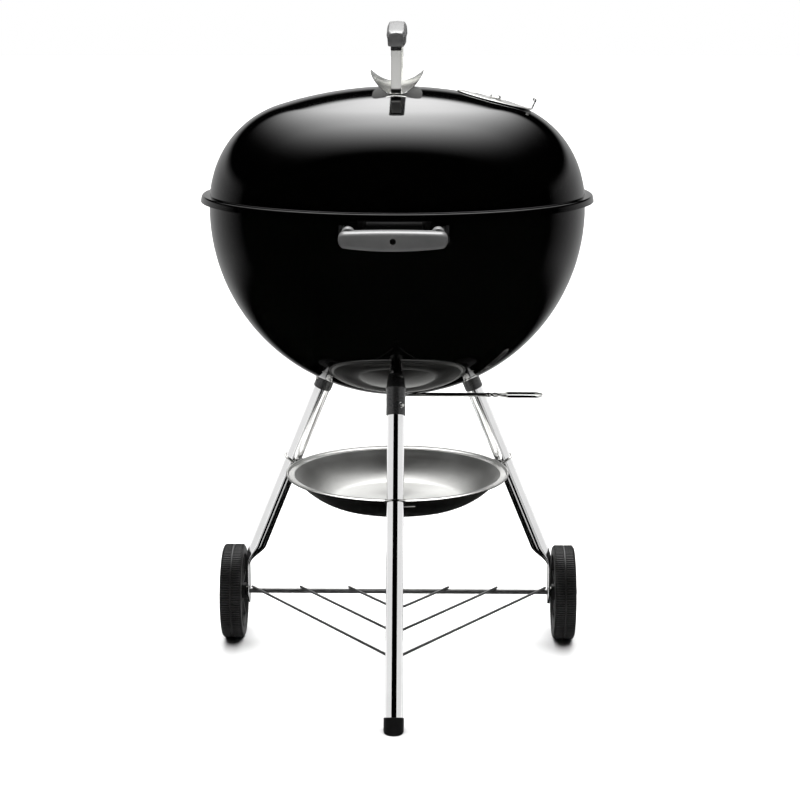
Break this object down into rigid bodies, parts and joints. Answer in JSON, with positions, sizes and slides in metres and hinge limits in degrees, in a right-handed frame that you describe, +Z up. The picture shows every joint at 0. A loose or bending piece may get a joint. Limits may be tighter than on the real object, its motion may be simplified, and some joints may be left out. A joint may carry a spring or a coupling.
{
  "type": "kettle charcoal grill",
  "caption": "Round kettle charcoal grill with domed lid, tripod legs, two wheels, ash pan, wire rack, lid damper and sweeping vent lever.",
  "frame": {"origin": "on the ground under the middle of the kettle", "axes": "+Z up, -Y towards the front leg, +X towards the vent lever"},
  "size_m": [0.5899, 0.696, 0.991],
  "materials": {
    "enamel": "deep black vitreous enamel, high gloss",
    "satin_aluminium": "satin, lightly brushed",
    "plated_steel": "bright polished plating",
    "dark_wire": "plated steel wire, semi-bright",
    "grip_plastic": "fine matt moulded texture",
    "black_plastic": "low gloss moulded plastic",
    "wheel_plastic": "moulded, fine ribs on the tread",
    "cast_grate": "plated steel rod"
  },
  "bodies": {
    "kettle": {"bowl_shell": "enamel", "front_handle_bracket": "enamel", "front_handle_grip": "grip_plastic", "front_handle_screw": "black_plastic", "rear_handle_bracket": "enamel", "rear_handle_grip": "grip_plastic", "rear_handle_screw": "black_plastic", "front_leg_socket": "enamel", "right_leg_socket": "enamel", "left_leg_socket": "enamel", "front_leg": "plated_steel", "right_leg": "plated_steel", "left_leg": "plated_steel", "front_foot_cap": "black_plastic", "front_button_spring": "dark_wire", "right_button_spring": "dark_wire", "left_button_spring": "dark_wire", "ash_pan": "satin_aluminium", "front_pan_clip": "dark_wire", "right_pan_clip": "dark_wire", "left_pan_clip": "dark_wire", "axle": "dark_wire", "axle_washers": "plated_steel", "right_hub_cap": "plated_steel", "left_hub_cap": "plated_steel", "rack_inner_wire": "dark_wire", "rack_middle_wire": "dark_wire", "rack_outer_wire": "dark_wire", "rack_centre_wire": "dark_wire", "cooking_grate_brackets": "enamel", "charcoal_grate_tabs": "enamel"},
    "lid": {"lid_shell": "enamel", "lid_handle_strap": "plated_steel", "lid_handle_grip": "grip_plastic", "lid_handle_collars": "black_plastic", "lid_heat_shield": "plated_steel", "lid_handle_bolts": "plated_steel", "lid_handle_nuts": "plated_steel", "lid_handle_screws": "plated_steel", "lid_damper_rivet": "satin_aluminium"},
    "damper": {"lid_damper": "satin_aluminium"},
    "sweeper": {"vent_blades": "satin_aluminium", "vent_shaft": "plated_steel", "vent_lever": "plated_steel", "vent_lever_nut": "plated_steel"},
    "wheel_right": {"right_wheel": "wheel_plastic"},
    "wheel_left": {"left_wheel": "wheel_plastic"},
    "button_front": {"front_snap_button": "plated_steel"},
    "button_right": {"right_snap_button": "plated_steel"},
    "button_left": {"left_snap_button": "plated_steel"},
    "grate_cooking": {"cooking_grate": "cast_grate"},
    "grate_charcoal": {"charcoal_grate": "cast_grate"}
  },
  "joints": [
    {"name": "lid_lift", "type": "slide", "parent": "kettle", "child": "lid", "axis": [0, 0, 1], "range_m": [0, 0.3]},
    {"name": "damper_turn", "type": "hinge", "parent": "lid", "child": "damper", "pos_m": [0.1455, 0, 0.87728], "axis": [0.2466, 0, 0.9691], "range_deg": [-45, 45]},
    {"name": "lever_turn", "type": "hinge", "parent": "kettle", "child": "sweeper", "pos_m": [0, 0, 0.4266], "axis": [0, 0, 1], "range_deg": [-60, 20]},
    {"name": "right_wheel_spin", "type": "hinge", "parent": "kettle", "child": "wheel_right", "pos_m": [0.268, 0.10529, 0.0762], "axis": [1, 0, 0], "continuous": true},
    {"name": "left_wheel_spin", "type": "hinge", "parent": "kettle", "child": "wheel_left", "pos_m": [-0.268, 0.10529, 0.0762], "axis": [1, 0, 0], "continuous": true},
    {"name": "front_button_press", "type": "slide", "parent": "kettle", "child": "button_front", "axis": [-0.6428, 0.707, -0.295], "range_m": [0, 0.0045], "stiffness_N_per_m": 600, "springref_m": -0.002},
    {"name": "right_button_press", "type": "slide", "parent": "kettle", "child": "button_right", "axis": [-0.5165, -0.8039, -0.295], "range_m": [0, 0.0045], "stiffness_N_per_m": 600, "springref_m": -0.002},
    {"name": "left_button_press", "type": "slide", "parent": "kettle", "child": "button_left", "axis": [0.8492, 0.4379, -0.295], "range_m": [0, 0.0045], "stiffness_N_per_m": 600, "springref_m": -0.002},
    {"name": "cooking_grate_lift", "type": "slide", "parent": "kettle", "child": "grate_cooking", "axis": [0, 0, 1], "range_m": [0, 0.05]},
    {"name": "charcoal_grate_lift", "type": "slide", "parent": "kettle", "child": "grate_charcoal", "axis": [0, 0, 1], "range_m": [0, 0.06]}
  ]
}
